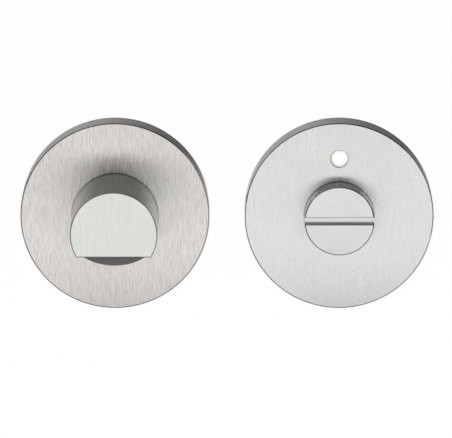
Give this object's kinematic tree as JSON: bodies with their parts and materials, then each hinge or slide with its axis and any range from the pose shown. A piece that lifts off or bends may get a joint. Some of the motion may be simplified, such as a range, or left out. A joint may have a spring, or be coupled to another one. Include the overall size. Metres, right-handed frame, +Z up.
{
  "type": "bathroom thumb turn lock",
  "caption": "Bathroom thumb turn and coin release: round satin steel roses, a turn knob with a thumb flat, a slotted release with an indicator window, spindle and through bolts.",
  "frame": {"origin": "axis of the thumb turn where it meets the door face, which is the back of both roses", "axes": "+Y into the door, the way the spindle points; +X from the thumb turn to the release beside it; +Z up, as fitted"},
  "size_m": [0.1137, 0.0809, 0.052],
  "materials": {
    "satin_cover": "stainless steel, brushed upright, seen from the front",
    "satin_turn": "stainless steel, end face brushed upright",
    "satin_release": "stainless steel, end face brushed level",
    "cast_zinc": "zinc die casting, as cast",
    "spring_wire": "spring wire, drawn",
    "spring_steel": "spring steel, blackened",
    "plated_steel": "steel, bright zinc plated",
    "nylon": "black nylon",
    "indicator_white": "white acetal",
    "indicator_red": "red printed field"
  },
  "bodies": {
    "roses": {"turn_cover": "satin_cover", "release_cover": "satin_cover", "turn_base": "cast_zinc", "release_base": "cast_zinc", "turn_cover_spring": "spring_wire", "release_cover_spring": "spring_wire", "turn_bush": "nylon", "release_bush": "nylon", "turn_wave_washer": "spring_steel", "release_wave_washer": "spring_steel", "through_bolts": "plated_steel", "sleeve_nuts": "plated_steel"},
    "turn": {"turn_knob": "satin_turn", "turn_spindle": "plated_steel", "spindle_pin": "spring_steel", "turn_stop_plate": "plated_steel", "turn_circlip": "spring_steel"},
    "release": {"release_knob": "satin_release", "release_stop_plate": "plated_steel", "release_circlip": "spring_steel", "indicator_disc": "indicator_white", "indicator_red_label": "indicator_red"}
  },
  "joints": [
    {"name": "thumb_turn", "type": "hinge", "parent": "roses", "child": "turn", "pos_m": [0, 0, 0], "axis": [0, 1, 0], "range_deg": [0, 90]},
    {"name": "coin_release", "type": "hinge", "parent": "roses", "child": "release", "pos_m": [0.0617, 0, 0], "axis": [0, -1, 0], "range_deg": [0, 90]}
  ]
}
